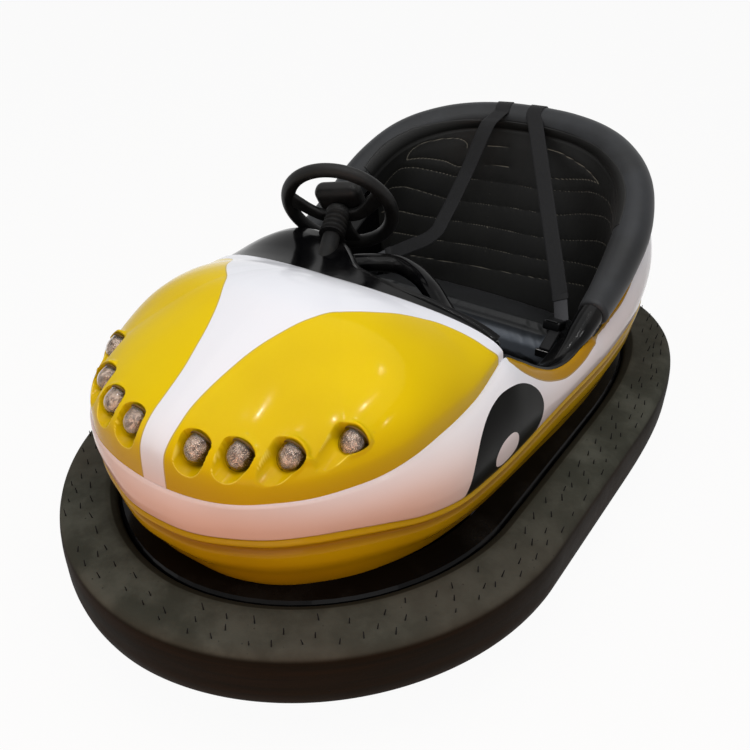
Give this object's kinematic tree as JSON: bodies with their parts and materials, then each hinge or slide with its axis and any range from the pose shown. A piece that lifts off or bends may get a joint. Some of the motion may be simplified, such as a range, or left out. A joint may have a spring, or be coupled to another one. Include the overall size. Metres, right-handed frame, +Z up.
{
  "type": "bumper car",
  "caption": "Fairground bumper car with a rubber ring, glossy moulded body, padded bench seat, steering wheel, grab hoop and a steerable driven wheel under the hood.",
  "frame": {"origin": "on the floor under the centre of the car's outline", "axes": "-Y to the front, +X to the car's left, +Z up"},
  "size_m": [1.218, 1.95, 0.9247],
  "materials": {
    "ring_rubber": "matte",
    "black_gloss": "gloss",
    "white_gloss": "gloss",
    "mustard_gloss": "gloss",
    "seat_vinyl": "satin",
    "belt_webbing": "matte",
    "black_plastic": "satin",
    "lamp_dome": "clear",
    "dark_steel": "satin",
    "zinc_steel": "satin",
    "tyre_rubber": "matte"
  },
  "bodies": {
    "car": {"bumper_ring": "ring_rubber", "chassis_rim": "black_gloss", "floor_plate": "dark_steel", "lower_skirt": "mustard_gloss", "side_shell": "white_gloss", "hood_panel": "white_gloss", "dash_panel": "black_gloss", "side_trim_left": "black_gloss", "side_trim_right": "black_gloss", "foot_floor": "black_plastic", "bulkhead": "black_plastic", "seat_base": "black_plastic", "seat_cushion": "seat_vinyl", "seat_back_pad": "seat_vinyl", "seat_bolster": "seat_vinyl", "grab_hoop": "black_gloss", "column_boot": "black_plastic", "shoulder_belt_left": "belt_webbing", "shoulder_belt_right": "belt_webbing", "belt_buckle_left": "black_plastic", "belt_buckle_right": "black_plastic", "turntable_ring": "dark_steel", "rear_cheek_left_inner": "dark_steel", "rear_cheek_left_outer": "dark_steel", "rear_cheek_right_inner": "dark_steel", "rear_cheek_right_outer": "dark_steel", "rear_axle_left": "zinc_steel", "rear_axle_right": "zinc_steel", "lamp_left_1": "lamp_dome", "lamp_left_2": "lamp_dome", "lamp_left_3": "lamp_dome", "lamp_left_4": "lamp_dome", "lamp_right_1": "lamp_dome", "lamp_right_2": "lamp_dome", "lamp_right_3": "lamp_dome", "lamp_right_4": "lamp_dome"},
    "steering_wheel": {"steering_column": "dark_steel", "steering_hub": "black_plastic", "steering_rim": "black_plastic", "wheel_spoke_left": "black_plastic", "wheel_spoke_right": "black_plastic", "wheel_spoke_lower": "black_plastic"},
    "drive_fork": {"fork_plate": "dark_steel", "fork_leg_left": "dark_steel", "fork_leg_right": "dark_steel", "drive_axle": "zinc_steel", "motor_saddle": "dark_steel", "drive_motor": "black_plastic"},
    "drive_wheel": {"drive_tyre": "tyre_rubber", "drive_hub": "zinc_steel"},
    "rear_wheel_left": {"rear_left_tyre": "tyre_rubber", "rear_left_hub": "zinc_steel"},
    "rear_wheel_right": {"rear_right_tyre": "tyre_rubber", "rear_right_hub": "zinc_steel"}
  },
  "joints": [
    {"name": "fork_turn", "type": "hinge", "parent": "car", "child": "drive_fork", "pos_m": [0, -0.5, 0.115], "axis": [0, 0, 1], "continuous": true},
    {"name": "steering_turn", "type": "hinge", "parent": "car", "child": "steering_wheel", "pos_m": [-0.1405, -0.064, 0.7965], "axis": [-0.3007, 0.8184, 0.4898], "continuous": true},
    {"name": "drive_roll", "type": "hinge", "parent": "drive_fork", "child": "drive_wheel", "pos_m": [0, -0.5, 0.115], "axis": [1, 0, 0], "continuous": true},
    {"name": "rear_left_roll", "type": "hinge", "parent": "car", "child": "rear_wheel_left", "pos_m": [0.27, 0.4, 0.08], "axis": [1, 0, 0], "continuous": true},
    {"name": "rear_right_roll", "type": "hinge", "parent": "car", "child": "rear_wheel_right", "pos_m": [-0.27, 0.4, 0.08], "axis": [1, 0, 0], "continuous": true}
  ],
  "couplings": [
    {"joint": "steering_turn", "follows": "fork_turn", "ratio": 1}
  ]
}
